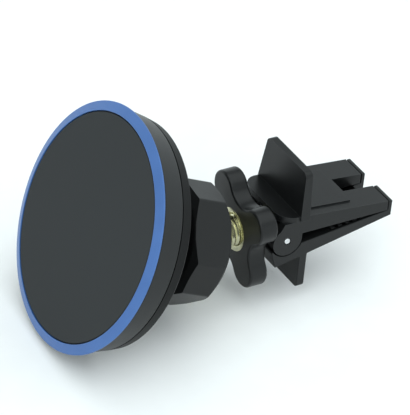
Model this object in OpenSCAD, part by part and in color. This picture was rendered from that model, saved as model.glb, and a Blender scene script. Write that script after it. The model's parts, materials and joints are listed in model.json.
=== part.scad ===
// Magnetic phone holder that clips onto a car air vent.
// Millimetres, +Z up, +Y towards the vent, +X the near side.
// The origin is the middle of the grip, where a vent blade sits between the two jaws.

/* [Magnetic head] */
// outer diameter of the coloured ring
head_d = 60; // [48:0.5:80]
// depth of the head from the face to the back
head_depth = 10.8; // [9:0.1:16]
// width of the coloured ring
ring_w = 2.45; // [1:0.05:4]
// drop of the coloured ring from its inner to its outer edge
ring_drop = 0.85; // [0.3:0.05:1.5]
// thickness of the soft face pad
pad_t = 1; // [0.6:0.1:2]
// thickness of the adhesive film under the pad
tape_t = 0.3; // [0.1:0.05:0.6]
// depth of the rear cover
cover_depth = 3.2; // [2:0.1:5]
// wall of the housing
shell_t = 1.5; // [1:0.1:2.5]
// number of magnets in the ring
magnet_count = 16; // [8:1:24]
// thickness of the magnets
magnet_t = 2.5; // [1.5:0.1:4]
// radial width of the magnets
magnet_w = 3.6; // [2:0.1:6]

/* [Ball joint] */
// ball diameter
ball_d = 17; // [12:0.5:25]
// distance from the ball centre to the face of the head
ball_to_face = 28.4; // [24:0.1:45]
// wall of the front ball seat
front_seat_t = 0.54; // [0.4:0.02:1]
// wall of the rear ball seat
rear_seat_t = 1.34; // [0.8:0.02:2]
// width of the lock nut across its four wide flats
nut_flats = 27.8; // [26:0.1:40]
// width of the lock nut across its four narrow flats
nut_cut = 30.6; // [27:0.1:44]
// length of the lock nut
nut_len = 10.8; // [9:0.1:16]
// outer diameter of the threaded collar inside the nut
collar_d = 22.5; // [20:0.1:32]
// tilt of the head up from the stud
head_tilt = 22.5; // [-24:0.5:24]
// turn of the head sideways from the stud
head_pan = -4; // [-24:0.5:24]
// turn of the lock nut about its own axis
nut_turn = 42; // [0:1:90]

/* [Stud and knob] */
// distance from the hinge pin to the ball centre
stud_len = 23.5; // [21:0.1:40]
// outer diameter of the stud thread
thread_d = 8; // [6:0.1:10]
// thread pitch
thread_pitch = 1.25; // [0.8:0.05:2]
// diameter of the neck behind the ball
neck_d = 5; // [3:0.1:6]
// distance from the hinge pin to the back of the knob
knob_back = 5; // [4.8:0.1:10]
// thickness of the knob
knob_t = 4.8; // [3:0.1:8]
// radius to the tip of a knob lobe
knob_tip_r = 14.6; // [10:0.1:20]
// radius at the middle of the hollow between two lobes
knob_waist_r = 8.4; // [7.6:0.1:12]
// radius of a lobe
lobe_r = 4.4; // [2:0.1:6]
// turn of the knob about the stud
knob_turn = 35; // [0:1:90]
// outer diameter of the brass insert in the knob
insert_d = 11; // [10:0.1:14]
// diameter of the thrust washer
washer_d = 12.6; // [12:0.1:16]
// thickness of the thrust washer
washer_t = 0.65; // [0.4:0.05:1]

/* [Vent clip] */
// width of the clip
clip_w = 19.6; // [17:0.1:30]
// distance from the hinge pin to the end of the tines
jaw_len = 29.6; // [26:0.1:50]
// height of the upper jaw over the hinge pin
jaw_top = 6.6; // [6:0.1:10]
// slope of the top of the upper jaw
top_slope = 5.2; // [0:0.1:8]
// height of the flat underside of the upper jaw over the hinge pin
jaw_gap_z = 1.35; // [1:0.05:2]
// width of the slot between the tines
slot_w = 5.4; // [4.5:0.1:9]
// distance from the hinge pin to the root of the slot
slot_root = 19.6; // [16:0.1:30]
// thickness of the lip at the end of each tine
lip_t = 1; // [0.6:0.1:2]
// height of the upper stop plate over the hinge pin
upper_plate_h = 17.9; // [12:0.1:30]
// depth of the lower stop plate under the hinge pin
lower_plate_h = 15; // [9:0.1:24]
// thickness of the upper stop plate at its foot
plate_t = 2.5; // [1.8:0.05:4]
// thickness of the lower stop plate
lower_plate_t = 2.1; // [1.5:0.05:4]
// how much the upper stop plate widens from its top to its foot, on each side
plate_flare = 1.3; // [0:0.1:3]
// reach of the front shelf ahead of the hinge pin
shelf_reach = 2.2; // [1:0.1:3]
// corner radius of the front shelf
shelf_r = 4.2; // [1:0.1:5]
// height of the raised panel on the upper jaw
panel_h = 0.35; // [0.1:0.05:0.8]
// thickness of the rubber grip pads
grip_pad_t = 0.8; // [0.5:0.05:1.2]

/* [Hinge] */
// diameter of the hinge pin
pin_d = 1.8; // [1.5:0.1:3]
// radius of the upper jaw ears
ear_r = 4; // [3.5:0.05:4.3]
// thickness of an ear
ear_t = 2; // [1.5:0.1:3]
// width of the eye of the stud
eye_w = 5; // [3:0.1:7]
// wire diameter of the torsion springs
wire_d = 0.7; // [0.4:0.05:1]

/* [Hidden] */
$fn = 96;
eps = 0.01;
run_gap = 0.05;
side_gap = 0.3;
grip_y = 24;
grip_z = 1;

// clip
top_t = tan(top_slope);
cheek_x = clip_w / 2;
upper_ear_x = cheek_x - ear_t;
lower_ear_x = upper_ear_x - side_gap - ear_t;
web_z = 4.7;
bar_y = ear_r + 0.7;
cradle_r = ear_r + 0.35;
tine_end = jaw_len - lip_t - side_gap;
panel_x = clip_w / 2 - 2.7;
panel_end = slot_root - 0.8;
plate_y = 2.9;
plate_foot_x = clip_w / 2 + 0.6;
plate_top_x = plate_foot_x - plate_flare;
lower_plate_y = 4;
low_slope = 0.205;
low_z0 = -6.486;
shelf_x = clip_w / 2 - shelf_r;
tine_w = clip_w / 2 - slot_w / 2;
tine_x = slot_w / 2 + tine_w / 2;
lower_top_a = [ear_r + 0.25, -1.58];
lower_top_b = [jaw_len - lip_t, jaw_gap_z - 0.1];
lower_top_m = (lower_top_b[1] - lower_top_a[1]) / (lower_top_b[0] - lower_top_a[0]);
grip_pad_y0 = 13;
grip_pad_y1 = jaw_len - 3.4;
eye_r = 3.5;
shank_r = min(eye_w / 2 - 0.4, ear_r * 0.525);

// stud and knob
thread_r = thread_d / 2;
ball_r = ball_d / 2;
thread_end = stud_len - ball_r - 3;
lobe_c = knob_tip_r - lobe_r;
waist_f = knob_waist_r;
hollow_num = lobe_c * lobe_c + waist_f * waist_f - sqrt(2) * lobe_c * waist_f - lobe_r * lobe_r;
hollow_r = hollow_num / (2 * lobe_r + sqrt(2) * lobe_c - 2 * waist_f);
hollow_c = waist_f + hollow_r;

// head, measured along its own axis from the ball centre
face_z = ball_to_face;
head_r = head_d / 2;
ring_in = head_r - ring_w;
ring_seat = face_z - pad_t - tape_t - 0.1;
back_z = face_z - head_depth;
split_z = back_z + cover_depth;
shell_r0 = head_r - 0.6;
shell_r1 = head_r - 1.75;
cover_r = head_r - 2.4;
cavity_r = shell_r1 - shell_t;
magnet_out = cavity_r - 1.6;
magnet_in = magnet_out - magnet_w;
front_t = 1.4;
magnet_z = ring_seat - front_t - 0.1 - magnet_t;
plate_z = magnet_z - 0.75;
tray_z = plate_z - 0.95;
seat_in = ball_r + 0.06;
front_seat_r = seat_in + front_seat_t;
rear_seat_r = seat_in + rear_seat_t;
pocket_r = front_seat_r + 0.1;
nut_side = nut_cut / sqrt(2) - nut_flats / 2;
nut_r = sqrt(nut_flats * nut_flats / 4 + nut_side * nut_side);
nut_top = nut_len - 4.3;
nut_end = nut_top - nut_len;
collar_r = collar_d / 2;
collar_end = -1.5;
cone_end = nut_top + 0.3;
cone_r0 = collar_r + 1.2;
cone_r1 = cone_r0 + 5.5;
screw_r = 13.2;
cover_screw_r = 22.8;
seat_hi = collar_end - 0.3;
seat_lo = nut_end + 0.64;

black = [0.07, 0.07, 0.08];
graphite = [0.14, 0.14, 0.15];
blue = [0.24, 0.42, 0.75];
brass = [0.80, 0.62, 0.26];
steel = [0.75, 0.76, 0.78];
magnet_c = [0.60, 0.61, 0.63];
rubber = [0.10, 0.10, 0.10];
nylon = [0.82, 0.82, 0.78];

// placing helpers
module at_pin() translate([0, -grip_y, -grip_z]) children();
module at_ball() at_pin() translate([0, -stud_len, 0]) children();
module in_head() at_ball() rotate([90 - head_tilt, 0, head_pan]) children();
module in_stud() at_pin() rotate([90, 0, 0]) children();
module side(w) rotate([90, 0, 90]) linear_extrude(height = w, center = true) children();
module both_sides() {
    children();
    mirror([1, 0, 0]) children();
}
function top_at(y) = jaw_top - top_t * y;
function low_at(y) = low_z0 + low_slope * y;
function lower_top_at(y) = lower_top_a[1] + lower_top_m * (y - lower_top_a[0]);

// head
module face_pad() color(graphite) in_head()
    rotate_extrude() polygon([[0, face_z - 0.1 - pad_t], [ring_in - 0.25, face_z - 0.1 - pad_t],
        [ring_in - 0.25, face_z - 0.3], [ring_in - 0.45, face_z - 0.1], [0, face_z - 0.1]]);

module pad_tape() color(black) in_head()
    translate([0, 0, ring_seat]) cylinder(h = tape_t, r = ring_in - 0.5);

module accent_ring() color(blue) in_head()
    rotate_extrude() polygon([[ring_in, ring_seat], [head_r - 1, ring_seat],
        [head_r, ring_seat + 0.2], [head_r, face_z - ring_drop], [head_r - 0.2, face_z - ring_drop + 0.1],
        [ring_in + 0.15, face_z], [ring_in, face_z - 0.05]]);

module front_shell() color(graphite) in_head()
    rotate_extrude() polygon([[0, ring_seat - front_t], [cavity_r, ring_seat - front_t],
        [cavity_r, split_z], [shell_r1, split_z], [shell_r1 + 0.05, split_z + 0.2],
        [shell_r0, ring_seat - 0.5], [shell_r0 - 0.3, ring_seat], [0, ring_seat]]);

module magnets() color(magnet_c) in_head()
    for (i = [0 : magnet_count - 1])
        rotate([0, 0, i * 360 / magnet_count])
            translate([0, 0, magnet_z])
                rotate_extrude(angle = 360 / magnet_count - 1.2)
                    translate([magnet_in, 0]) square([magnet_w, magnet_t]);

module backing_plate() color(steel) in_head()
    translate([0, 0, plate_z]) difference() {
        cylinder(h = 0.7, r = magnet_out);
        translate([0, 0, -1]) cylinder(h = 3, r = magnet_in);
    }

module magnet_tray() color(black) in_head()
    rotate_extrude() polygon([[magnet_in - 1.1, tray_z], [magnet_out + 0.3, tray_z],
        [magnet_out + 0.3, tray_z + 0.9], [magnet_in - 0.2, tray_z + 0.9],
        [magnet_in - 0.2, ring_seat - front_t - 0.1], [magnet_in - 1.1, ring_seat - front_t - 0.1]]);

module rear_cover() color(graphite) in_head() difference() {
    rotate_extrude() polygon([[6, back_z - 0.6], [cone_r1, back_z - 0.6], [cover_r - 2.4, back_z],
        [cover_r - 0.5, back_z + 0.1], [cover_r, back_z + 0.6], [shell_r1, split_z - 0.05],
        [cavity_r - 0.1, split_z - 0.05], [cavity_r - 0.1, split_z + 1.2],
        [cavity_r - 1, split_z + 1.2], [cavity_r - 1, back_z + 1.5], [6, back_z + 1.5]]);
    for (a = [45 : 90 : 315])
        rotate([0, 0, a]) translate([screw_r, 0, back_z - 2]) cylinder(h = 6, r = 1.15);
    for (a = [0 : 90 : 270]) rotate([0, 0, a]) translate([cover_screw_r, 0, back_z - 1]) {
        cylinder(h = 4, r = 0.95);
        cylinder(h = 1.6, r = 1.9);
    }
}

module cover_screws() color(steel) in_head()
    for (a = [0 : 90 : 270]) rotate([0, 0, a]) translate([cover_screw_r, 0, back_z])
        difference() {
            union() {
                cylinder(h = 0.55, r = 1.75);
                cylinder(h = tray_z - 0.3 - back_z, r = 0.85);
            }
            for (b = [0, 90]) rotate([0, 0, b]) cube([2.2, 0.4, 0.7], center = true);
        }

module socket_body() color(black) in_head() difference() {
    rotate_extrude() polygon([[0, back_z - 0.7], [cone_r1 - 0.8, back_z - 0.7], [cone_r1 - 1, back_z - 1.2],
        [cone_r0, cone_end + 0.3], [cone_r0 - 0.3, cone_end], [collar_r, cone_end],
        [collar_r, collar_end + 0.4], [collar_r - 0.4, collar_end], [0, collar_end]]);
    sphere(r = pocket_r);
    translate([0, 0, collar_end - 1]) cylinder(h = 1 - collar_end, r = pocket_r);
    for (a = [45 : 90 : 315])
        rotate([0, 0, a]) translate([screw_r, 0, back_z - 6]) cylinder(h = 8, r = 1);
}

module socket_screws() color(steel) in_head()
    for (a = [45 : 90 : 315]) rotate([0, 0, a]) translate([screw_r, 0, 0]) difference() {
        union() {
            translate([0, 0, back_z + 1.55]) cylinder(h = 1.2, r = 1.9);
            translate([0, 0, back_z - 5.6]) cylinder(h = 7.2, r = 0.95);
        }
        translate([0, 0, back_z + 2.75])
            for (b = [0, 90]) rotate([0, 0, b]) cube([2.4, 0.5, 1.2], center = true);
    }

module lock_nut() color(black) in_head() difference() {
    intersection() {
        rotate([0, 0, nut_turn]) translate([0, 0, nut_end]) linear_extrude(height = nut_len)
            intersection() {
                square(nut_flats, center = true);
                rotate(45) square(nut_cut, center = true);
            }
        rotate_extrude() polygon([[0, nut_top], [nut_r - 2.3, nut_top], [nut_r + 0.1, nut_top - 1.05],
            [nut_r + 0.1, nut_end + 2.2], [nut_r - 2.1, nut_end], [0, nut_end]]);
    }
    translate([0, 0, collar_end - 0.2]) cylinder(h = nut_len, r = collar_r + run_gap);
    sphere(r = rear_seat_r + 0.05);
    translate([0, 0, nut_end - eps]) cylinder(h = 0.4, r1 = rear_seat_r - 0.5, r2 = rear_seat_r - 0.9);
}

// ball seats: the front one stays in line with the stud, the rear one follows the head
module seat_shell(outer, z0, z1) intersection() {
    difference() {
        sphere(r = outer);
        sphere(r = seat_in);
    }
    translate([0, 0, z0]) cylinder(h = z1 - z0, r = outer + 1);
}
module front_ball_seat() color(nylon) at_ball() rotate([90, 0, head_pan])
    seat_shell(front_seat_r, 0.376 * ball_r, front_seat_r + 1);
module rear_ball_seat() color(nylon) in_head() seat_shell(rear_seat_r, seat_lo, seat_hi);

// stud and knob
module thread_profile() polygon(concat([[0, ear_r + 0.2], [thread_r - 0.5, ear_r + 0.2]],
    [for (s = [0 : floor((thread_end - ear_r - 0.2) / thread_pitch) - 1], q = [0 : 3])
        [q == 0 || q == 3 ? thread_r - 0.45 : thread_r,
            ear_r + 0.2 + thread_pitch * (s + [0.1, 0.42, 0.62, 0.94][q])]],
    [[thread_r - 0.5, thread_end], [0, thread_end]]));

module ball_stud() color(brass) in_stud() {
    difference() {
        union() {
            rotate([0, 90, 0]) cylinder(h = eye_w, r = eye_r, center = true);
            cylinder(h = ear_r + 0.3, r = shank_r);
        }
        rotate([0, 90, 0]) cylinder(h = eye_w + 1, r = pin_d / 2, center = true);
    }
    rotate_extrude() thread_profile();
    translate([0, 0, thread_end - eps]) cylinder(h = stud_len - thread_end - ball_r + 1, r = neck_d / 2);
    translate([0, 0, stud_len]) sphere(r = ball_r);
}

module knob_outline() difference() {
    union() {
        for (a = [0 : 90 : 270]) rotate(a) translate([lobe_c, 0]) circle(r = lobe_r);
        polygon([for (i = [0 : 7]) (i % 2 == 0 ? lobe_c : hollow_c) * [cos(45 * i), sin(45 * i)]]);
    }
    for (a = [45 : 90 : 315]) rotate(a) translate([hollow_c, 0]) circle(r = hollow_r);
}
module knob() color(black) in_stud() translate([0, 0, knob_back]) difference() {
    rotate([0, 0, knob_turn]) linear_extrude(height = knob_t) knob_outline();
    translate([0, 0, -1]) cylinder(h = knob_t + 2, r = insert_d / 2);
    translate([0, 0, -1]) cylinder(h = 1 + washer_t + 0.05, r = washer_d / 2 + 0.15);
}
module knob_insert() color(brass) in_stud() translate([0, 0, knob_back + washer_t + 0.1]) difference() {
    cylinder(h = knob_t - washer_t - 0.1, r = insert_d / 2);
    translate([0, 0, -1]) cylinder(h = knob_t + 2, r = thread_r + run_gap);
}
module thrust_washer() color(steel) in_stud() translate([0, 0, knob_back]) difference() {
    cylinder(h = washer_t, r = washer_d / 2);
    translate([0, 0, -1]) cylinder(h = 3, r = thread_r + 0.08);
}

// clip
module plan_outline() {
    translate([-clip_w / 2, shelf_r - shelf_reach]) square([clip_w, jaw_len + 10]);
    translate([-shelf_x, -shelf_reach]) square([2 * shelf_x, shelf_r + 1]);
    for (s = [-1, 1]) translate([s * shelf_x, shelf_r - shelf_reach]) circle(r = shelf_r);
}
module tine_slot() translate([-slot_w / 2, slot_root, -20]) cube([slot_w, jaw_len, 40]);
module pin_bore(r) rotate([0, 90, 0]) cylinder(h = clip_w + 2, r = r, center = true);
module pad_recess(z) both_sides()
    translate([tine_x - tine_w / 2 + 0.8, grip_pad_y0, z]) cube([tine_w - 1.6, grip_pad_y1 - grip_pad_y0, 5]);

module upper_jaw() color(black) at_pin() difference() {
    union() {
        difference() {
            intersection() {
                side(clip_w) polygon([[-shelf_reach - 1, top_at(-shelf_reach - 1) - 1.9],
                    [-shelf_reach - 1, top_at(-shelf_reach - 1)], [tine_end, top_at(tine_end)],
                    [tine_end, jaw_gap_z], [bar_y, jaw_gap_z], [bar_y, web_z]]);
                translate([0, 0, -1]) linear_extrude(height = 20) plan_outline();
            }
            tine_slot();
        }
        side(2 * panel_x) polygon([[plate_y + 1.5, top_at(plate_y + 1.5) - 0.5],
            [plate_y + 1.5, top_at(plate_y + 1.5) + panel_h], [panel_end, top_at(panel_end) + panel_h],
            [panel_end, top_at(panel_end) - 0.5]]);
        both_sides() translate([(upper_ear_x + cheek_x) / 2, 0, 0]) side(ear_t) {
            circle(r = ear_r);
            polygon([[-ear_r, 0], [-1.2, web_z + 0.4], [bar_y + 0.5, web_z + 0.4],
                [bar_y + 0.5, jaw_gap_z], [ear_r, jaw_gap_z], [ear_r, 0]]);
        }
        intersection() {
            side(clip_w + 2) polygon([[plate_y, web_z + 0.5], [plate_y, web_z + 1.9],
                [plate_y + 0.95, upper_plate_h], [plate_y + plate_t + 0.35, upper_plate_h],
                [plate_y + plate_t, web_z + 0.5]]);
            rotate([90, 0, 0]) linear_extrude(height = 40, center = true) {
                polygon([[-plate_foot_x, web_z], [plate_foot_x, web_z],
                    [plate_top_x, upper_plate_h - 1.6], [plate_top_x - 1.6, upper_plate_h],
                    [1.6 - plate_top_x, upper_plate_h], [-plate_top_x, upper_plate_h - 1.6]]);
                for (s = [-1, 1]) translate([s * (plate_top_x - 1.6), upper_plate_h - 1.6]) circle(r = 1.6);
            }
        }
    }
    pin_bore(pin_d / 2 + run_gap);
    pad_recess(jaw_gap_z + grip_pad_t - 0.3 - 5);
}

module lower_jaw() color(black) at_pin() difference() {
    union() {
        difference() {
            side(2 * cheek_x) polygon([[-ear_r - 0.2, -2.4], [-2.85, low_at(-2.85)],
                [bar_y + 3, low_at(bar_y + 3)], [bar_y + 3, lower_top_at(bar_y + 3)], lower_top_a, [0, -1.2]]);
            rotate([0, 90, 0]) cylinder(h = clip_w + 2, r = cradle_r, center = true);
        }
        difference() {
            side(clip_w) polygon([[bar_y + 1, low_at(bar_y + 1)], [jaw_len, low_at(jaw_len)],
                [jaw_len, top_at(jaw_len)], [jaw_len - lip_t, top_at(jaw_len - lip_t)],
                lower_top_b, [bar_y + 1, lower_top_at(bar_y + 1)]]);
            tine_slot();
        }
        both_sides() translate([lower_ear_x + ear_t / 2, 0, 0]) side(ear_t) {
            circle(r = ear_r - 0.2);
            polygon([[-2.4, 0], [-2.4, low_at(-2.4) + 0.4], [2.4, low_at(2.4) + 0.4], [2.4, 0]]);
        }
        intersection() {
            translate([-clip_w / 2, lower_plate_y, -lower_plate_h])
                cube([clip_w, lower_plate_t, lower_plate_h + low_at(lower_plate_y) + 0.8]);
            rotate([90, 0, 0]) linear_extrude(height = 40, center = true) {
                translate([-clip_w / 2, 1 - lower_plate_h]) square([clip_w, lower_plate_h]);
                translate([-clip_w / 2 + 1, -lower_plate_h]) square([clip_w - 2, lower_plate_h]);
                for (s = [-1, 1]) translate([s * (clip_w / 2 - 1), 1 - lower_plate_h]) circle(r = 1);
            }
        }
    }
    pin_bore(pin_d / 2 + run_gap);
    translate([-thread_r - 0.3, -8 - 0.825 * ear_r, -1.5 * ear_r])
        cube([2 * thread_r + 0.6, 8, 1.5 * ear_r + 2]);
    both_sides() translate([tine_x - tine_w / 2 + 0.8, 0, 0]) rotate([90, 0, 90])
        linear_extrude(height = tine_w - 1.6) polygon([
            [grip_pad_y0, lower_top_at(grip_pad_y0) - grip_pad_t + 0.3],
            [grip_pad_y1, lower_top_at(grip_pad_y1) - grip_pad_t + 0.3],
            [grip_pad_y1, lower_top_at(grip_pad_y1) + 5], [grip_pad_y0, lower_top_at(grip_pad_y0) + 5]]);
}

module hinge_pin() color(steel) at_pin() {
    rotate([0, 90, 0]) cylinder(h = 2 * cheek_x - 0.5, r = pin_d / 2, center = true);
    both_sides() translate([cheek_x - 0.26, 0, 0]) rotate([0, 90, 0])
        cylinder(h = 0.3, r1 = pin_d / 2, r2 = pin_d / 2 - 0.25);
}

module spring_leg() translate([2.6, 0, 0]) rotate([90, 0, 0])
    cylinder(h = 3.2, r = wire_d / 2 - 0.04);
module torsion_springs() color(steel) at_pin() both_sides()
    translate([eye_w / 2 + 0.15 + 1.5 * wire_d, 0, 0]) rotate([0, 90, 0]) {
        for (i = [-1 : 1]) translate([0, 0, i * (wire_d - 0.04)])
            rotate_extrude() translate([2.6, 0]) circle(r = wire_d / 2);
        spring_leg();
        rotate([180, 0, 0]) rotate([0, 0, 180]) spring_leg();
    }

module upper_grip_pads() color(rubber) at_pin() both_sides()
    translate([tine_x - tine_w / 2 + 0.85, grip_pad_y0 + 0.05, jaw_gap_z - 0.25])
        cube([tine_w - 1.7, grip_pad_y1 - grip_pad_y0 - 0.1, grip_pad_t - 0.05]);

module lower_grip_pads() color(rubber) at_pin() both_sides()
    translate([tine_x - tine_w / 2 + 0.85, 0, 0]) rotate([90, 0, 90])
        linear_extrude(height = tine_w - 1.7) polygon([
            [grip_pad_y0 + 0.05, lower_top_at(grip_pad_y0) - grip_pad_t + 0.32],
            [grip_pad_y1 - 0.05, lower_top_at(grip_pad_y1) - grip_pad_t + 0.32],
            [grip_pad_y1 - 0.05, lower_top_at(grip_pad_y1) + 0.1],
            [grip_pad_y0 + 0.05, lower_top_at(grip_pad_y0) + 0.1]]);

face_pad();
pad_tape();
accent_ring();
front_shell();
magnets();
backing_plate();
magnet_tray();
rear_cover();
cover_screws();
socket_body();
socket_screws();
front_ball_seat();
rear_ball_seat();
lock_nut();
ball_stud();
knob();
knob_insert();
thrust_washer();
upper_jaw();
lower_jaw();
hinge_pin();
torsion_springs();
upper_grip_pads();
lower_grip_pads();
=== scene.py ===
import json
import math

import bmesh
import bpy
from mathutils import Matrix, Vector


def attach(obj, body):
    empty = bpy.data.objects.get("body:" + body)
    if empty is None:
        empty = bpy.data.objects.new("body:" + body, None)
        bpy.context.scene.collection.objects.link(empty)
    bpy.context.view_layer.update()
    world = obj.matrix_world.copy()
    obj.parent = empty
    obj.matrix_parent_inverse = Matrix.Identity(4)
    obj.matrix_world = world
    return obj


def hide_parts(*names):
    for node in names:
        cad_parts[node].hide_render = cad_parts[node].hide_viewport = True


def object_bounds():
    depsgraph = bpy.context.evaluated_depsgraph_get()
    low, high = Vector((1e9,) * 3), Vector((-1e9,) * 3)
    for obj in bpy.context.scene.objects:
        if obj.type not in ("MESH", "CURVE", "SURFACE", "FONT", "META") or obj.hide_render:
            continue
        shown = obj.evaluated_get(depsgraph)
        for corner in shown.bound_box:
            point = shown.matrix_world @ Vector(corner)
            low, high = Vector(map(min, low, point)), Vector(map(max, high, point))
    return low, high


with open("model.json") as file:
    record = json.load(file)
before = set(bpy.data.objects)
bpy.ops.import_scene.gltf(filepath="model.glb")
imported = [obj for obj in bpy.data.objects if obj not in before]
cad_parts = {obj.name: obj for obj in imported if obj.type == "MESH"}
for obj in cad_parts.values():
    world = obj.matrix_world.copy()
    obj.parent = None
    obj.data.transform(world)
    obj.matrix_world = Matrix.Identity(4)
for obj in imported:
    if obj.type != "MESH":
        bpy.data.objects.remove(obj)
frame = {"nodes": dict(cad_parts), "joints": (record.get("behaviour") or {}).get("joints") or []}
cad_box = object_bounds()
nodes = frame["nodes"]
joints = {j["name"]: j for j in frame["joints"]}
MM = 0.001
FINE = 192  # sides of a large turned piece
SMALL = 64  # sides of a small one

# sizes that are finer than the frame shows, or shapes that the frame holds only as facets
PLATE = 1.4 * MM  # front plate of the side wall
SCREW_RING = 22.8 * MM  # circle of the cover screws
SEAT_POCKET = 9.6 * MM  # hollow for the front ball seat
SOCKET_COLLAR = 8.3 * MM  # length of the socket's collar
NUT_FRONT_CHAMFER = (2.3 * MM, 1.05 * MM)  # across, along
NUT_REAR_CHAMFER = 2.2 * MM
NUT_SEAT = 9.9 * MM  # radius of the hollow for the rear ball seat
NUT_MOUTH_EASE = 0.4 * MM
THREAD_START = 4.3 * MM  # from the hinge pin
THREAD_CORE, THREAD_CREST, THREAD_PITCH = 3.52 * MM, 4.0 * MM, 1.25 * MM
NECK = 2.5 * MM
NECK_LENGTH = 3 * MM
KNOB_TURN = 35
KNOB_LOBE, KNOB_WAIST = 4.4 * MM, 8.4 * MM
SPRING_WIRE, SPRING_COIL, SPRING_PITCH, SPRING_LEG = 0.3 * MM, 2.6 * MM, 0.62 * MM, 3.1 * MM
GRIP_RIB, GRIP_RIBS = 0.22 * MM, 6
FLOOR_GAP = 0.2 * MM

# ---------------------------------------------------------------- places of the pieces


def axes_at(point, across, along):
    """A piece's own axes: its Z runs along the turning axis, its X across it."""
    z = Vector(along).normalized()
    x = Vector(across).normalized()
    y = z.cross(x)
    turn = Matrix((x, y, z)).transposed().to_4x4()
    return Matrix.Translation(Vector(point)) @ turn


head_spin = joints["head_spin"]
tilt_axis = Vector(joints["head_tilt"]["axis"])
HEAD = axes_at(head_spin["pos_m"], -tilt_axis, head_spin["axis"])
pin_at = joints["upper_jaw_open"]["pos_m"]
STUD = axes_at(pin_at, (1, 0, 0), (0, -1, 0))
PIN = axes_at(pin_at, (0, 0, -1), (1, 0, 0))


def in_axes(node, place):
    back = place.inverted() @ nodes[node].matrix_world
    return [back @ v.co for v in nodes[node].data.vertices]


def turned_size(node, place):
    """Lowest and highest point and the inner and outer radius of a CAD node round an axis."""
    points = in_axes(node, place)
    heights = [p.z for p in points]
    radii = [math.hypot(p.x, p.y) for p in points]
    return min(heights), max(heights), min(radii), max(radii)


def rim(node, place, height, within=0.03 * MM):
    """Inner and outer radius of a CAD node at one height."""
    radii = [math.hypot(p.x, p.y) for p in in_axes(node, place) if abs(p.z - height) < within]
    return min(radii), max(radii)


# ---------------------------------------------------------------- workshop


def only(*objs):
    bpy.ops.object.select_all(action="DESELECT")
    for o in objs:
        o.select_set(True)
    bpy.context.view_layer.objects.active = objs[0]


def edit(obj):
    only(obj)
    bpy.ops.object.mode_set(mode="EDIT")


def leave():
    """Back from edit mode to object mode."""
    bpy.ops.object.mode_set(mode="OBJECT")


def pick(obj, part, test):
    """In edit mode, selects the faces or edges whose middle passes the test, and nothing else."""
    bpy.ops.mesh.select_all(action="DESELECT")
    bpy.ops.mesh.select_mode(type="FACE" if part == "faces" else "EDGE")
    shape = bmesh.from_edit_mesh(obj.data)
    for item in getattr(shape, part):
        middle = sum((v.co for v in item.verts), Vector()) / len(item.verts)
        if test(item, middle):
            item.select_set(True)
    shape.select_flush_mode()
    bmesh.update_edit_mesh(obj.data)


def outward(obj):
    """Closes seams and turns every face outward."""
    edit(obj)
    bpy.ops.mesh.select_all(action="SELECT")
    bpy.ops.mesh.remove_doubles(threshold=0.0005 * MM)
    bpy.ops.mesh.normals_make_consistent(inside=False)
    leave()


def apply(obj, kind, **settings):
    only(obj)
    mod = obj.modifiers.new(kind.lower(), kind)
    for key, value in settings.items():
        setattr(mod, key, value)
    bpy.ops.object.modifier_apply(modifier=mod.name)


def soften(obj, width, segments=3, angle=32):
    """Rounds every edge sharper than the angle."""
    apply(obj, "BEVEL", width=width, segments=segments, limit_method="ANGLE",
          angle_limit=math.radians(angle), use_clamp_overlap=True, miter_outer="MITER_ARC")


def smooth(obj, angle=38):
    only(obj)
    bpy.ops.object.shade_smooth_by_angle(angle=math.radians(angle))
    apply(obj, "WEIGHTED_NORMAL", keep_sharp=True, weight=60)


def cut(obj, cutter, operation="DIFFERENCE"):
    """Takes the cutter's shape away from the piece, or joins or keeps what both fill."""
    apply(obj, "BOOLEAN", operation=operation, object=cutter, solver="EXACT")
    bpy.data.objects.remove(cutter)


def put(obj, place):
    """Moves a piece made round its own axes to its place, and keeps the place in its mesh."""
    only(obj)
    obj.matrix_world = place @ obj.matrix_world
    bpy.ops.object.transform_apply(location=True, rotation=True, scale=True)


def turned(name, rings, sides=FINE, tube=False):
    """A turned piece: a circle extruded and scaled from ring to ring of (radius, height)."""
    bpy.ops.object.select_all(action="DESELECT")
    radius, height = rings[0]
    bpy.ops.mesh.primitive_circle_add(vertices=sides, radius=radius, location=(0, 0, height),
                                      fill_type="NOTHING" if tube else "NGON")
    obj = bpy.context.object
    obj.name = obj.data.name = name
    bpy.ops.object.transform_apply(location=True, rotation=True, scale=True)
    edit(obj)
    bpy.ops.mesh.select_mode(type="EDGE")
    bpy.ops.mesh.select_all(action="SELECT")
    if not tube:
        pick(obj, "edges", lambda e, m: True)
    for new_radius, new_height in rings[1:] + ([rings[0]] if tube else []):
        bpy.ops.mesh.extrude_edges_move(
            TRANSFORM_OT_translate={"value": (0, 0, new_height - height)})
        grow = new_radius / radius
        if abs(grow - 1) > 1e-9:
            bpy.ops.transform.resize(value=(grow, grow, 1), center_override=(0, 0, new_height))
        radius, height = new_radius, new_height
    if not tube:
        bpy.ops.mesh.edge_face_add()
    leave()
    outward(obj)
    return obj


def rod(name, radius, low, high, at=(0, 0), sides=SMALL):
    """A plain cutter: never left in the scene as a piece."""
    bpy.ops.object.select_all(action="DESELECT")
    bpy.ops.mesh.primitive_cylinder_add(vertices=sides, radius=radius, depth=high - low,
                                        location=(at[0], at[1], (low + high) / 2))
    obj = bpy.context.object
    obj.name = name
    bpy.ops.object.transform_apply(location=True, rotation=True, scale=True)
    return obj


def on_circle(radius, degrees):
    return radius * math.cos(math.radians(degrees)), radius * math.sin(math.radians(degrees))


def copy_of(obj, name):
    twin = obj.copy()
    twin.data = obj.data.copy()
    twin.name = twin.data.name = name
    bpy.context.collection.objects.link(twin)
    return twin


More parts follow.
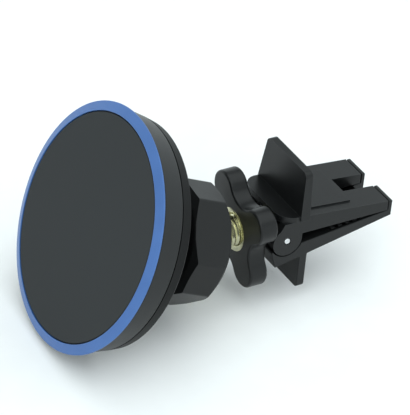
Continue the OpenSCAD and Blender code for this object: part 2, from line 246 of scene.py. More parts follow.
def from_cad(name, node):
    """A copy of a CAD node with its loose triangles merged into clean flat faces."""
    obj = bpy.data.objects.new(name, nodes[node].data.copy())
    obj.data.name = name
    bpy.context.collection.objects.link(obj)
    edit(obj)
    bpy.ops.mesh.select_all(action="SELECT")
    bpy.ops.mesh.remove_doubles(threshold=0.002 * MM)
    bpy.ops.mesh.customdata_custom_splitnormals_clear()
    bpy.ops.mesh.dissolve_limited(angle_limit=math.radians(0.6))
    bpy.ops.mesh.normals_make_consistent(inside=False)
    leave()
    return obj


def finish_piece(obj, body, slot_name, material, *stands_for):
    obj.data.materials.clear()
    obj.data.materials.append(material)
    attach(obj, body)
    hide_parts(*stands_for)


# ---------------------------------------------------------------- finishes


class Finish:
    """A node material that reads Object coordinates."""

    def __init__(self, name):
        self.material = bpy.data.materials.new(name)
        self.material.use_nodes = True
        self.tree = self.material.node_tree
        self.shader = self.tree.nodes["Principled BSDF"]
        self.where = self.add("ShaderNodeTexCoord").outputs["Object"]

    def add(self, kind, inputs=None, **settings):
        made = self.tree.nodes.new(kind)
        for key, value in settings.items():
            setattr(made, key, value)
        for key, value in (inputs or {}).items():
            self.feed(made.inputs[key], value)
        return made

    def feed(self, socket, value):
        if isinstance(value, bpy.types.NodeSocket):
            self.tree.links.new(value, socket)
        else:
            socket.default_value = value

    def noise(self, size, detail=2.0, rough=0.5, where=None):
        """Noise whose spots are about this size."""
        return self.add("ShaderNodeTexNoise", {"Vector": where or self.where, "Scale": 1 / size,
                        "Detail": detail, "Roughness": rough}).outputs["Fac"]

    def spread(self, value, low, high, start=0.3, end=0.7):
        return self.add("ShaderNodeMapRange", {"Value": value, "From Min": start, "From Max": end,
                        "To Min": low, "To Max": high}).outputs["Result"]

    def sum(self, a, b, operation="ADD"):
        return self.add("ShaderNodeMath", {0: a, 1: b}, operation=operation).outputs[0]

    def mix(self, amount, a, b):
        made = self.add("ShaderNodeMix", data_type="RGBA")
        self.feed(made.inputs[0], amount)
        self.feed(made.inputs[6], a)
        self.feed(made.inputs[7], b)
        return made.outputs[2]

    def edges(self, width, start=0.02, end=0.35):
        """1 where an edge is near, 0 on open faces."""
        rounded = self.add("ShaderNodeBevel", {"Radius": width}, samples=6).outputs[0]
        plain = self.add("ShaderNodeNewGeometry").outputs["Normal"]
        same = self.add("ShaderNodeVectorMath", {0: rounded, 1: plain},
                        operation="DOT_PRODUCT").outputs["Value"]
        gap = self.sum(1.0, same, "SUBTRACT")
        return self.spread(gap, 0.0, 1.0, start, end)

    def bump(self, height, depth, strength=1.0, under=None):
        inputs = {"Height": height, "Strength": strength, "Distance": depth}
        if under is not None:
            inputs["Normal"] = under
        return self.add("ShaderNodeBump", inputs).outputs["Normal"]

    def set(self, **inputs):
        for key, value in inputs.items():
            self.feed(self.shader.inputs[key.replace("_", " ")], value)
        return self.material


def grey(level, cool=0.06):
    return level * (1 - cool), level, level * (1 + cool * 0.6), 1.0


def moulded(name, level, rough, grain, depth, edge_wear_and_highlight, cool=0.06, gloss=0.3):
    """Moulded plastic: a fine spark-eroded grain, faint flow clouds, edges rubbed smoother and painted
    lighter, part wear and part painted highlight.
    """
    f = Finish(name)
    cloud = f.noise(14 * MM, 3, 0.6)
    speck = f.noise(grain, 3, 0.6)
    edge = f.edges(0.35 * MM)
    base = f.mix(f.spread(cloud, 0.0, 1.0), grey(level * 0.86, cool), grey(level * 1.14, cool))
    base = f.mix(f.spread(speck, 0.0, 0.22), base, grey(level * 1.5, cool))
    # edges mixed towards a lighter grey: part rubbed wear, part painted highlight along edges and
    # parting lines
    base = f.mix(f.sum(edge, 0.55, "MULTIPLY"), base, grey(level * edge_wear_and_highlight, cool))
    dull = f.sum(f.spread(cloud, rough - 0.035, rough + 0.035), f.spread(speck, -0.03, 0.03))
    dull = f.sum(dull, f.sum(edge, 0.08, "MULTIPLY"), "SUBTRACT")
    return f.set(Base_Color=base, Roughness=dull, Normal=f.bump(speck, depth, 0.6),
                 Specular_IOR_Level=gloss)


def soft_face():
    """Soft-touch face: very fine matt stipple with a faint bloom."""
    f = Finish("soft_face_rubber")
    stipple = f.noise(0.18 * MM, 2, 0.5)
    bloom = f.noise(22 * MM, 3, 0.55)
    base = f.mix(f.spread(bloom, 0.0, 1.0), grey(0.0205, 0.10), grey(0.0245, 0.10))
    base = f.mix(f.spread(stipple, 0.0, 0.25), base, grey(0.034, 0.10))
    dull = f.sum(f.spread(bloom, 0.66, 0.72), f.spread(stipple, -0.03, 0.03))
    return f.set(Base_Color=base, Roughness=dull, Normal=f.bump(stipple, 0.012 * MM, 0.5),
                 Specular_IOR_Level=0.26)


def blue_trim():
    """Satin blue ring: an anodised look with fine streaks round it and paler edges, part wear and part
    painted highlight.
    """
    f = Finish("satin_blue")
    own = HEAD.inverted()
    centred = f.add("ShaderNodeMapping", {"Vector": f.where, "Location": own.translation,
                    "Rotation": own.to_euler()}, vector_type="POINT").outputs[0]
    away = f.add("ShaderNodeVectorMath", {0: centred, 1: (1, 1, 0)}, operation="MULTIPLY").outputs[0]
    radius = f.add("ShaderNodeVectorMath", {0: away}, operation="LENGTH").outputs["Value"]
    rings = f.add("ShaderNodeTexNoise", {"W": f.sum(radius, 1 / (0.11 * MM), "MULTIPLY"), "Scale": 1.0,
                  "Detail": 2.0}, noise_dimensions="1D").outputs["Fac"]
    cloud = f.noise(9 * MM, 3)
    edge = f.edges(0.25 * MM)
    base = f.mix(f.spread(cloud, 0.0, 1.0), (0.042, 0.118, 0.33, 1), (0.055, 0.142, 0.38, 1))
    base = f.mix(f.spread(rings, 0.0, 0.35), base, (0.075, 0.17, 0.43, 1))
    # edges painted paler blue: part wear, part painted highlight band
    base = f.mix(f.sum(edge, 0.5, "MULTIPLY"), base, (0.17, 0.30, 0.56, 1))
    dull = f.sum(f.spread(rings, 0.33, 0.43), f.spread(cloud, -0.02, 0.02))
    return f.set(Base_Color=base, Roughness=dull, Normal=f.bump(rings, 0.006 * MM, 0.4),
                 Metallic=0.25)


def machined(name, colour, rough, place, streak, dark=0.72):
    """Turned metal: fine tool marks round the axis, faint tarnish, bright edges."""
    f = Finish(name)
    own = place.inverted()
    centred = f.add("ShaderNodeMapping", {"Vector": f.where, "Location": own.translation,
                    "Rotation": own.to_euler()}, vector_type="POINT").outputs[0]
    parts = f.add("ShaderNodeSeparateXYZ", {0: centred})
    marks = f.add("ShaderNodeTexNoise", {"W": f.sum(parts.outputs[2], 1 / streak, "MULTIPLY"),
                  "Scale": 1.0, "Detail": 3.0}, noise_dimensions="1D").outputs["Fac"]
    tarnish = f.noise(2.2 * MM, 4, 0.6)
    edge = f.edges(0.15 * MM)
    low = tuple(c * dark for c in colour) + (1,)
    base = f.mix(f.spread(tarnish, 0.0, 1.0, 0.35, 0.75), colour + (1,), low)
    base = f.mix(f.sum(edge, 0.35, "MULTIPLY"), base, tuple(min(1, c * 1.15) for c in colour) + (1,))
    dull = f.sum(f.spread(marks, rough - 0.05, rough + 0.07), f.spread(tarnish, -0.02, 0.05))
    return f.set(Base_Color=base, Roughness=dull, Metallic=1.0,
                 Normal=f.bump(marks, 0.006 * MM, 0.35))


def plated(name, colour, rough):
    """Plated or ground metal seen all over: fine random scratches and clouds."""
    f = Finish(name)
    cloud = f.noise(3 * MM, 4, 0.6)
    fine = f.noise(0.12 * MM, 2)
    base = f.mix(f.spread(cloud, 0.0, 1.0), colour + (1,), tuple(c * 0.8 for c in colour) + (1,))
    dull = f.sum(f.spread(cloud, rough - 0.05, rough + 0.08), f.spread(fine, -0.03, 0.03))
    return f.set(Base_Color=base, Roughness=dull, Metallic=1.0, Normal=f.bump(fine, 0.004 * MM, 0.4))


def rubbery(name, level, rough=0.85):
    f = Finish(name)
    speck = f.noise(0.25 * MM, 3)
    dust = f.noise(5 * MM, 4)
    base = f.mix(f.spread(dust, 0.0, 1.0), grey(level * 0.8), grey(level * 1.3))
    return f.set(Base_Color=base, Roughness=f.spread(speck, rough - 0.06, rough + 0.05),
                 Normal=f.bump(speck, 0.02 * MM, 0.5), Specular_IOR_Level=0.35)


def sheer(name, colour, rough, gloss=0.5):
    """A pale or clear moulded piece inside: slight mottle and a soft sheen."""
    f = Finish(name)
    mottle = f.noise(1.5 * MM, 4)
    fine = f.noise(0.2 * MM, 2)
    base = f.mix(f.spread(mottle, 0.0, 1.0), colour + (1,), tuple(c * 0.85 for c in colour) + (1,))
    return f.set(Base_Color=base, Roughness=f.spread(fine, rough - 0.05, rough + 0.05),
                 Normal=f.bump(fine, 0.008 * MM, 0.4), Specular_IOR_Level=gloss)


face_rubber = soft_face()
satin_blue = blue_trim()
# rear cover: the same graphite plastic as the side wall, its base colour painted darker as painted
# shade on the back band that slopes away from the light
cover_plastic = moulded("cover_plastic", 0.0045, 0.46, 0.30 * MM, 0.012 * MM, 3.0, gloss=0.12)
# side wall and clip edges painted nine times lighter, knob and nut edges five times: mostly painted
# highlight on the parting and clip edges, partly wear
wall_plastic = moulded("wall_plastic", 0.0085, 0.40, 0.30 * MM, 0.012 * MM, 9.0, cool=0.10)
satin_black = moulded("satin_black", 0.0055, 0.36, 0.26 * MM, 0.014 * MM, 5.0)
clip_black = moulded("clip_black", 0.0055, 0.38, 0.26 * MM, 0.014 * MM, 9.0)
inner_black = moulded("inner_black", 0.011, 0.5, 0.3 * MM, 0.01 * MM, 2.0)
bright_brass = machined("bright_brass", (0.76, 0.74, 0.50), 0.20, STUD, 0.09 * MM)
pin_steel = machined("pin_steel", (0.78, 0.79, 0.80), 0.24, PIN, 0.06 * MM)
washer_steel = plated("washer_steel", (0.66, 0.67, 0.69), 0.32)
screw_steel = plated("screw_steel", (0.35, 0.35, 0.37), 0.38)
spring_steel = plated("spring_steel", (0.60, 0.60, 0.62), 0.30)
zinc_steel = plated("zinc_plate", (0.62, 0.64, 0.68), 0.36)
magnet_nickel = plated("magnet_nickel", (0.70, 0.69, 0.66), 0.22)
grip_rubber = rubbery("grip_rubber", 0.016)
nylon = sheer("seat_nylon", (0.70, 0.69, 0.64), 0.42)
film = sheer("tape_film", (0.42, 0.42, 0.40), 0.5)

# ---------------------------------------------------------------- head


def make_face_pad():
    low, high, _, outer = turned_size("face_pad", HEAD)
    lip = 0.22 * MM
    pad = turned("soft_face", [(outer, low), (outer, high)])
    edit(pad)
    pick(pad, "edges", lambda e, m: all(v.co.z > high - 0.01 * MM for v in e.verts)
         and m.to_2d().length > outer * 0.9)
    bpy.ops.mesh.bevel(offset=lip, segments=4)
    leave()
    smooth(pad)
    put(pad, HEAD)
    finish_piece(pad, "head_body", "face_rubber", face_rubber, "face_pad")


def make_ring():
    low, high, inner, outer = turned_size("accent_ring", HEAD)
    foot = rim("accent_ring", HEAD, low)[1]
    drop = 0.85 * MM
    ring = turned("blue_ring", [(inner, low), (foot, low), (outer, low + 0.2 * MM),
                                (outer, high - drop), (inner + 0.12 * MM, high),
                                (inner, high - 0.08 * MM)], tube=True)
    soften(ring, 0.13 * MM, 3, 20)
    smooth(ring)
    put(ring, HEAD)
    finish_piece(ring, "head_body", "blue_trim", satin_blue, "accent_ring")


def make_front_shell():
    low, high, _, outer = turned_size("front_shell", HEAD)
    cavity, lower = rim("front_shell", HEAD, low)
    nose = 0.45 * MM
    wall = turned("side_wall", [(cavity, high - PLATE), (cavity, low), (lower, low),
                                (outer, high - nose), (outer - 0.3 * MM, high)])
    edit(wall)
    pick(wall, "edges", lambda e, m: all(v.co.z < low + 0.01 * MM for v in e.verts)
         and m.to_2d().length > lower - 0.1 * MM)
    bpy.ops.mesh.bevel(offset=0.42 * MM, segments=4)
    leave()
    soften(wall, 0.1 * MM, 2, 25)
    smooth(wall)
    put(wall, HEAD)
    finish_piece(wall, "head_body", "graphite_plastic", wall_plastic, "front_shell")


def make_back():
    low, high, inner, _ = turned_size("rear_cover", HEAD)
    split = turned_size("front_shell", HEAD)[0]
    cavity, lower = rim("front_shell", HEAD, split)
    step, seat = cavity - 0.1 * MM, split - 0.05 * MM
    floor = low + 0.6 * MM
    boss = rim("rear_cover", HEAD, low)[1]
    edge = rim("rear_cover", HEAD, low + 1.2 * MM)[1]
    back = turned("back_cover", [
        (inner, low), (boss, low), (edge - 2.4 * MM, floor), (edge - 0.5 * MM, floor + 0.1 * MM),
        (edge, floor + 0.6 * MM), (lower, seat), (step, seat), (step, high),
        (step - 0.9 * MM, high), (step - 0.9 * MM, floor + 1.5 * MM), (inner, floor + 1.5 * MM)],
        tube=True)
    for angle in (0, 90, 180, 270):
        at = on_circle(SCREW_RING, angle)
        cut(back, rod("well", 1.9 * MM, floor - 2 * MM, floor + 0.6 * MM, at))
        cut(back, rod("hole", 0.95 * MM, floor - 2 * MM, floor + 3 * MM, at, 32))
    soften(back, 0.16 * MM, 3, 28)
    smooth(back)
    put(back, HEAD)
    finish_piece(back, "head_body", "graphite_plastic", cover_plastic, "rear_cover")
    make_cover_screws()


def make_cover_screws():
    low, high, _, _ = turned_size("cover_screws", HEAD)
    head, shank, tall = 1.75 * MM, 0.85 * MM, 0.55 * MM
    first = turned("cover_screw_1", [(head - 0.25 * MM, low), (head, low + 0.3 * MM),
                                     (head, low + tall), (shank, low + tall), (shank, high)],
                   SMALL)
    soften(first, 0.08 * MM, 3, 25)
    for turn in (0, 90):
        bpy.ops.object.select_all(action="DESELECT")
        bpy.ops.mesh.primitive_cube_add(size=1, location=(0, 0, low),
                                        rotation=(0, 0, math.radians(turn)))
        cross = bpy.context.object
        cross.scale = (2.2 * MM, 0.4 * MM, 0.7 * MM)
        bpy.ops.object.transform_apply(location=True, rotation=True, scale=True)
        cut(first, cross)
    smooth(first)
    screws = [first] + [copy_of(first, f"cover_screw_{n}") for n in (2, 3, 4)]
    for screw, angle in zip(screws, (0, 90, 180, 270)):
        x, y = on_circle(SCREW_RING, angle)
        put(screw, HEAD @ Matrix.Translation((x, y, 0)) @ Matrix.Rotation(math.radians(angle), 4, "Z"))
        finish_piece(screw, "head_body", "screw_steel", screw_steel, "cover_screws")


def make_socket():
    low, high, _, _ = turned_size("socket_body", HEAD)
    collar = rim("socket_body", HEAD, low + 0.4 * MM)[1]
    shelf = low + SOCKET_COLLAR
    top_r = rim("socket_body", HEAD, high)[1]
    skirt = max(r for r in (math.hypot(p.x, p.y) for p in in_axes("socket_body", HEAD)
                            if abs(p.z - shelf - 0.3 * MM) < 0.05 * MM))
    wide = max(math.hypot(p.x, p.y) for p in in_axes("socket_body", HEAD))
    socket = turned("ball_socket", [
        (SEAT_POCKET, low), (collar - 0.4 * MM, low), (collar, low + 0.4 * MM), (collar, shelf),
        (skirt - 0.3 * MM, shelf), (skirt, shelf + 0.3 * MM), (wide, high - 0.5 * MM),
        (top_r, high)], SMALL * 2)
    hollow_for_ball(socket, low)
    soften(socket, 0.14 * MM, 3, 28)
    smooth(socket)
    put(socket, HEAD)
    finish_piece(socket, "head_body", "black_plastic", satin_black, "socket_body")


def hollow_for_ball(socket, low):
    """Hollows the socket out for the ball and its seat."""
    steps = 14
    rings = [(SEAT_POCKET, low - 2 * MM), (SEAT_POCKET, 0)]
    rings += [on_circle(SEAT_POCKET, 90 * i / steps) for i in range(1, steps)]
    cut(socket, turned("bowl", rings, SMALL * 2))


def make_nut():
    """Eight-sided nut: a block with its four corners cut off."""
    low, high, _, _ = turned_size("lock_nut", HEAD)
    points = in_axes("lock_nut", HEAD)

    def reach(degrees):
        a = math.radians(degrees)
        return max(p.x * math.cos(a) + p.y * math.sin(a) for p in points)

    flat, turn = min((reach(step / 2), step / 2) for step in range(180))
    narrow, wide = reach(turn + 45), max(math.hypot(p.x, p.y) for p in points)
    bpy.ops.object.select_all(action="DESELECT")
    bpy.ops.mesh.primitive_cube_add(size=1, location=(0, 0, (low + high) / 2))
    nut = bpy.context.object
    nut.name = nut.data.name = "lock_nut_body"
    nut.scale = (2 * flat, 2 * flat, high - low)
    nut.rotation_euler = (0, 0, math.radians(turn))
    bpy.ops.object.transform_apply(location=True, rotation=True, scale=True)
    edit(nut)
    for quarter in range(4):
        a = math.radians(turn + 45 + 90 * quarter)
        out = (math.cos(a), math.sin(a), 0)
        bpy.ops.mesh.select_all(action="SELECT")
        bpy.ops.mesh.bisect(plane_co=[narrow * v for v in out], plane_no=out,
                            use_fill=True, clear_outer=True)
    leave()
    soften(nut, 0.45 * MM, 4, 30)
    chamfer = turned("chamfer", [(wide - NUT_REAR_CHAMFER + 0.1 * MM, low - 0.001 * MM),
                                 (wide + 0.1 * MM, low + NUT_REAR_CHAMFER),
                                 (wide + 0.1 * MM, high - NUT_FRONT_CHAMFER[1]),
                                 (wide - NUT_FRONT_CHAMFER[0], high + 0.001 * MM)])
    cut(nut, chamfer, "INTERSECT")
    bore = rim("lock_nut", HEAD, high)[0]
    step_z = turned_size("socket_body", HEAD)[0] - 0.2 * MM
    cut(nut, rod("bore", bore, step_z, high + 1 * MM, sides=128))
    mouth = rim("lock_nut", HEAD, low)[0]
    steps = 12
    lean = math.degrees(math.asin((low + NUT_MOUTH_EASE) / NUT_SEAT))
    rings = [(mouth, low - 0.5 * MM), (mouth, low)]
    rings += [on_circle(NUT_SEAT, lean * (1 - i / steps)) for i in range(steps + 1)]
    rings = [ring for ring in rings if ring[1] < step_z + 0.5 * MM]
    cut(nut, turned("mouth", rings, SMALL * 2))
    soften(nut, 0.22 * MM, 3, 20)
    smooth(nut, 30)
    put(nut, HEAD)
    finish_piece(nut, "nut_body", "black_plastic", satin_black, "lock_nut")


# ---------------------------------------------------------------- stud and knob


def make_stud():
    _, high, _, _ = turned_size("ball_stud", STUD)
    ball_r = ball_radius()
    centre = high - ball_r
    start, end = THREAD_START, centre - ball_r - NECK_LENGTH
    bpy.ops.object.select_all(action="DESELECT")
    bpy.ops.mesh.primitive_plane_add(size=THREAD_PITCH, location=(0, 0, 0))
    stud = bpy.context.object
    stud.name = stud.data.name = "brass_stud"
    edit(stud)
    bpy.ops.mesh.select_all(action="SELECT")
    bpy.ops.mesh.delete(type="ONLY_FACE")
    leave()
    thread_line(stud, start - THREAD_PITCH)
    turns = math.ceil((end - start) / THREAD_PITCH) + 2
    apply(stud, "SCREW", axis="Z", screw_offset=THREAD_PITCH, iterations=turns, steps=72,
          render_steps=72, use_merge_vertices=True, merge_threshold=0.001 * MM)
    edit(stud)
    bpy.ops.mesh.select_all(action="SELECT")
    bpy.ops.mesh.remove_doubles(threshold=0.002 * MM)
    bpy.ops.mesh.select_all(action="SELECT")
    bpy.ops.mesh.bisect(plane_co=(0, 0, start), plane_no=(0, 0, 1), use_fill=True, clear_inner=True)
    bpy.ops.mesh.select_all(action="SELECT")
    bpy.ops.mesh.bisect(plane_co=(0, 0, end), plane_no=(0, 0, 1), use_fill=True, clear_outer=True)
    leave()
    outward(stud)
    steps, pole = 40, 88
    meet = -math.degrees(math.acos(NECK / ball_r))
    arc = [on_circle(ball_r, meet + (pole - meet) * i / steps) for i in range(steps + 1)]
    rings = [(NECK, end - 1 * MM), (NECK, centre + arc[0][1])]
    rings += [(radius, centre + height) for radius, height in arc[1:]]
    neck = turned("ball_and_neck", rings, 96)
    cut(stud, neck, "UNION")
    eye = from_cad("eye", "ball_stud")
    edit(eye)
    edge_y = pin_at[1] - start - 0.2 * MM
    bpy.ops.mesh.select_all(action="SELECT")
    bpy.ops.mesh.bisect(plane_co=(0, edge_y, 0), plane_no=(0, 1, 0), use_fill=True, clear_inner=True)
    leave()
    outward(eye)
    put(stud, STUD)
    cut(stud, eye, "UNION")
    smooth(stud, 24)
    finish_piece(stud, "stud_body", "stud_brass", bright_brass, "ball_stud")


def ball_radius():
    front = min(v.co.y for v in nodes["ball_stud"].data.vertices)
    return head_spin["pos_m"][1] - front


def thread_line(obj, start):
    """Turns the square's outline into one pitch of thread: foot, flank, crest, flank, foot."""
    edit(obj)
    shape = bmesh.from_edit_mesh(obj.data)
    for v in list(shape.verts)[1:]:
        shape.verts.remove(v)
    shape.verts.ensure_lookup_table()
    shape.verts[0].co = (THREAD_CORE, 0, start)
    shape.verts[0].select_set(True)
    bmesh.update_edit_mesh(obj.data)
    depth = THREAD_CREST - THREAD_CORE
    for out, share in ((depth, 0.38), (0, 0.20), (-depth, 0.38), (0, 0.04)):
        bpy.ops.mesh.extrude_vertices_move(
            TRANSFORM_OT_translate={"value": (out, 0, share * THREAD_PITCH)})
    leave()


def lobe_radius(angle, tip):
    """Radius of the knob's outline at an angle in radians from the middle of a lobe."""
    lobe, waist = KNOB_LOBE, KNOB_WAIST
    at = tip - lobe
    top = at * at + waist * waist - math.sqrt(2) * at * waist - lobe * lobe
    hollow = top / (2 * lobe + math.sqrt(2) * at - 2 * waist)
    hollow_at = waist + hollow
    join = Vector((at, 0)) + (Vector((hollow_at, hollow_at)) / math.sqrt(2)
                              - Vector((at, 0))).normalized() * lobe
    a = abs((angle + math.pi / 4) % (math.pi / 2) - math.pi / 4)
    if a <= math.atan2(join.y, join.x):
        return at * math.cos(a) + math.sqrt(lobe ** 2 - (at * math.sin(a)) ** 2)
    b = math.pi / 4 - a
    return hollow_at * math.cos(b) - math.sqrt(hollow ** 2 - (hollow_at * math.sin(b)) ** 2)


def make_knob():
    low, high, bore, tip = turned_size("knob", STUD)
    bpy.ops.object.select_all(action="DESELECT")
    bpy.ops.mesh.primitive_circle_add(vertices=2 * FINE, radius=tip, location=(0, 0, 0))
    knob = bpy.context.object
    knob.name = knob.data.name = "lobed_knob"
    edit(knob)
    shape = bmesh.from_edit_mesh(knob.data)
    for v in shape.verts:
        angle = math.atan2(v.co.y, v.co.x)
        v.co *= lobe_radius(angle, tip) / v.co.length
        v.co.z = low
    bmesh.update_edit_mesh(knob.data)
    bpy.ops.mesh.select_all(action="SELECT")
    bpy.ops.mesh.edge_face_add()
    bpy.ops.mesh.extrude_region_move(TRANSFORM_OT_translate={"value": (0, 0, high - low)})
    bpy.ops.mesh.select_all(action="SELECT")
    bpy.ops.mesh.normals_make_consistent(inside=False)
    pick(knob, "edges", lambda e, m: abs(e.verts[0].co.z - e.verts[1].co.z) < 1e-7)
    bpy.ops.mesh.bevel(offset=0.62 * MM, segments=5, profile=0.5)
    leave()
    cut(knob, rod("bore", bore, low - MM, high + MM, sides=96))
    _, washer_top, _, washer_r = turned_size("thrust_washer", STUD)
    cut(knob, rod("washer_well", washer_r + 0.15 * MM, low - MM, washer_top + 0.05 * MM, sides=96))
    soften(knob, 0.14 * MM, 2, 50)
    smooth(knob, 35)
    put(knob, STUD @ Matrix.Rotation(math.radians(KNOB_TURN), 4, "Z"))
    finish_piece(knob, "knob_body", "black_plastic", satin_black, "knob")


def make_knob_bush():
    low, high, bore, outer = turned_size("knob_insert", STUD)
    bush = turned("knob_bush", [(bore, low), (outer, low), (outer, high), (bore + 0.3 * MM, high),
                                (bore, high - 0.3 * MM)], 96, tube=True)
    soften(bush, 0.1 * MM, 2, 30)
    smooth(bush)
    put(bush, STUD)
    finish_piece(bush, "knob_body", "stud_brass", bright_brass, "knob_insert")


def make_washer():
    low, high, bore, outer = turned_size("thrust_washer", STUD)
    washer = turned("washer", [(bore, low), (outer, low), (outer, high), (bore, high)], 96, tube=True)
    soften(washer, 0.12 * MM, 3, 30)
    smooth(washer)
    put(washer, STUD)
    finish_piece(washer, "washer_body", "zinc_steel", washer_steel, "thrust_washer")


# ---------------------------------------------------------------- clip


def make_jaw(name, node, body):
    jaw = from_cad(name, node)
    soften(jaw, 0.28 * MM, 3, 30)
    smooth(jaw, 30)
    finish_piece(jaw, body, "black_plastic", clip_black, node)


def make_pin():
    low, high, _, outer = turned_size("hinge_pin", PIN)
    ease = 0.3 * MM
    pin = turned("pin", [(outer - ease, low), (outer, low + ease), (outer, high - ease),
                         (outer - ease, high)], SMALL)
    soften(pin, 0.12 * MM, 3, 20)
    smooth(pin)
    put(pin, PIN)
    finish_piece(pin, "stud_body", "pin_steel", pin_steel, "hinge_pin")


def make_springs():
    near = [p.z for p in in_axes("torsion_springs", PIN) if p.z > 0]
    middle = (min(near) + max(near)) / 2
    turns = 2.5
    bpy.ops.object.select_all(action="DESELECT")
    bpy.ops.mesh.primitive_circle_add(vertices=16, radius=SPRING_WIRE, location=(SPRING_COIL, 0, 0),
                                      rotation=(math.pi / 2, 0, 0))
    spring = bpy.context.object
    spring.name = spring.data.name = "spring_near"
    bpy.ops.object.transform_apply(location=True, rotation=True, scale=True)
    apply(spring, "SCREW", axis="Z", angle=math.radians(360 * turns),
          screw_offset=SPRING_PITCH * turns, iterations=1, steps=120, render_steps=120,
          use_merge_vertices=False)
    edit(spring)
    bpy.ops.mesh.select_all(action="SELECT")
    bpy.ops.transform.translate(value=(0, 0, -SPRING_PITCH * turns / 2))
    for side in (1, -1):
        pick(spring, "edges", lambda e, m: e.is_boundary and m.x * side > 0)
        bpy.ops.mesh.extrude_edges_move(TRANSFORM_OT_translate={"value": (0, -SPRING_LEG, 0)})
        bpy.ops.mesh.edge_face_add()
    leave()
    outward(spring)
    smooth(spring, 50)
    far = copy_of(spring, "spring_far")
    put(spring, PIN @ Matrix.Translation((0, 0, middle)))
    put(far, PIN @ Matrix.Translation((0, 0, -middle)))
    for one in (spring, far):
        finish_piece(one, "stud_body", "pin_steel", spring_steel, "torsion_springs")


def make_grip_pads(node, body, up):
    """Ribbed rubber pads on the jaw's tines: strips of the gripping face pulled out as ribs."""
    ends = [v.co.y for v in nodes[node].data.vertices]
    low, high = min(ends), max(ends)
    step = (high - low) / (2 * GRIP_RIBS + 1)
    for side in (1, -1):
        pad = from_cad(f"{node}_{'near' if side > 0 else 'far'}", node)
        edit(pad)
        pick(pad, "faces", lambda f, m: m.x * side < 0)
        bpy.ops.mesh.delete(type="FACE")
        for i in range(1, 2 * GRIP_RIBS + 1):
            bpy.ops.mesh.select_all(action="SELECT")
            bpy.ops.mesh.bisect(plane_co=(0, low + i * step, 0), plane_no=(0, 1, 0))
        pick(pad, "faces", lambda f, m: f.normal.z * up > 0.7
             and int((m.y - low) / step) % 2 == 1)
        bpy.ops.mesh.extrude_region_move(TRANSFORM_OT_translate={"value": (0, 0, -up * GRIP_RIB)})
        bpy.ops.mesh.select_all(action="SELECT")
        bpy.ops.mesh.normals_make_consistent(inside=False)
        leave()
        soften(pad, 0.07 * MM, 2, 30)
        smooth(pad)
        finish_piece(pad, body, "grip_rubber", grip_rubber, node)


# ---------------------------------------------------------------- pieces kept from the frame


def keep(node, material):
    mesh = nodes[node].data
    mesh.materials.clear()
    mesh.materials.append(material)


make_face_pad()
make_ring()
make_front_shell()
make_back()
make_socket()
make_nut()
make_stud()
make_knob()
make_knob_bush()
make_washer()
make_jaw("jaw_top", "upper_jaw", "upper_body")
make_jaw("jaw_bottom", "lower_jaw", "lower_body")
make_pin()
make_springs()
make_grip_pads("upper_grip_pads", "upper_body", -1)
make_grip_pads("lower_grip_pads", "lower_body", 1)
for node_name, look in {"pad_tape": film, "magnets": magnet_nickel, "backing_plate": zinc_steel,
                        "magnet_tray": inner_black, "socket_screws": screw_steel,
                        "front_ball_seat": nylon, "rear_ball_seat": nylon}.items():
    keep(node_name, look)

# ---------------------------------------------------------------- stage

floor_z = cad_box[0][2] - FLOOR_GAP
bpy.ops.object.select_all(action="DESELECT")
bpy.ops.mesh.primitive_plane_add(size=6, location=(0, 0, floor_z))
floor = bpy.context.object
floor.name = "floor"
paper = Finish("paper")
paper_tone = paper.spread(paper.noise(8 * MM, 3), 0.0, 1.0)
floor.data.materials.append(paper.set(
    Base_Color=paper.mix(paper_tone, (0.90, 0.90, 0.90, 1), (0.92, 0.92, 0.92, 1)), Roughness=0.9))

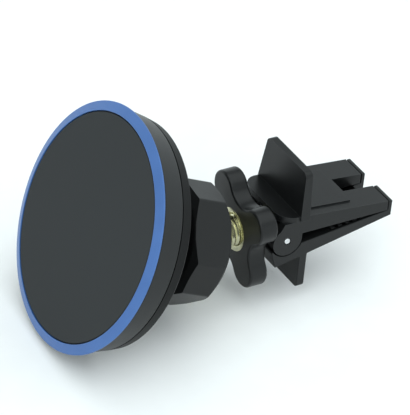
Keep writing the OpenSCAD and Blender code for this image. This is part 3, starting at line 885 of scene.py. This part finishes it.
# a pale room up to ROOM_LINE above the horizon, dim overhead
ROOM_LINE, ROOM_FADE = 0.50, 0.06
ROOM_LIGHT, ROOF_LIGHT = 1.25, 0.12
world = bpy.data.worlds.new("studio")
bpy.context.scene.world = world
world.use_nodes = True
sky = world.node_tree
direction = sky.nodes.new("ShaderNodeTexCoord").outputs["Generated"]
height = sky.nodes.new("ShaderNodeSeparateXYZ")
fade = sky.nodes.new("ShaderNodeMapRange")
fade.inputs["From Min"].default_value = ROOM_LINE
fade.inputs["From Max"].default_value = ROOM_LINE + ROOM_FADE
fade.inputs["To Min"].default_value = ROOM_LIGHT
fade.inputs["To Max"].default_value = ROOF_LIGHT
sky.links.new(direction, height.inputs[0])
sky.links.new(height.outputs["Z"], fade.inputs["Value"])
sky.links.new(fade.outputs["Result"], sky.nodes["Background"].inputs["Strength"])
sky.nodes["Background"].inputs["Color"].default_value = (0.90, 0.99, 1.01, 1)


def softbox(name, at, aim, size, power, tint):
    lamp = bpy.data.lights.new(name, "AREA")
    lamp.shape, lamp.size, lamp.energy, lamp.color = "SQUARE", size, power, tint
    obj = bpy.data.objects.new(name, lamp)
    bpy.context.collection.objects.link(obj)
    obj.location = at
    obj.rotation_euler = (Vector(aim) - Vector(at)).to_track_quat("-Z", "Y").to_euler()


middle = Vector((0, -0.03, 0))
COOL = (0.92, 1.0, 1.01)
softbox("overhead", (0.15, 0.1, 1.1), middle, 1.8, 17.0, COOL)
softbox("side", (0.7, -0.9, 0.9), middle, 0.9, 5.0, COOL)

bpy.context.scene.view_settings.view_transform = "Standard"

# camera: its turn round the object, height, lean and place
AZIMUTH, ELEVATION, LEAN = 56.84, 34.91, 5.67
FOCAL = 263.4
CAMERA_AT = Vector((0.489519, -0.361987, 0.415823))


def camera_turn(azimuth, elevation, lean):
    a, e, r = (math.radians(v) for v in (azimuth, elevation, lean))
    back = Vector((math.sin(a) * math.cos(e), -math.cos(a) * math.cos(e), math.sin(e)))
    right = (-back).cross(Vector((0, 0, 1))).normalized()
    up = right.cross(-back)
    return Matrix((math.cos(r) * right + math.sin(r) * up, math.cos(r) * up - math.sin(r) * right,
                   back)).transposed()


lens = bpy.data.cameras.new("camera")
lens.sensor_fit, lens.sensor_width, lens.lens = "HORIZONTAL", 36, FOCAL
lens.clip_start, lens.clip_end = 0.01, 20
camera = bpy.data.objects.new("camera", lens)
bpy.context.collection.objects.link(camera)
camera.matrix_world = (Matrix.Translation(CAMERA_AT)
                       @ camera_turn(AZIMUTH, ELEVATION, LEAN).to_4x4())
bpy.context.scene.camera = camera
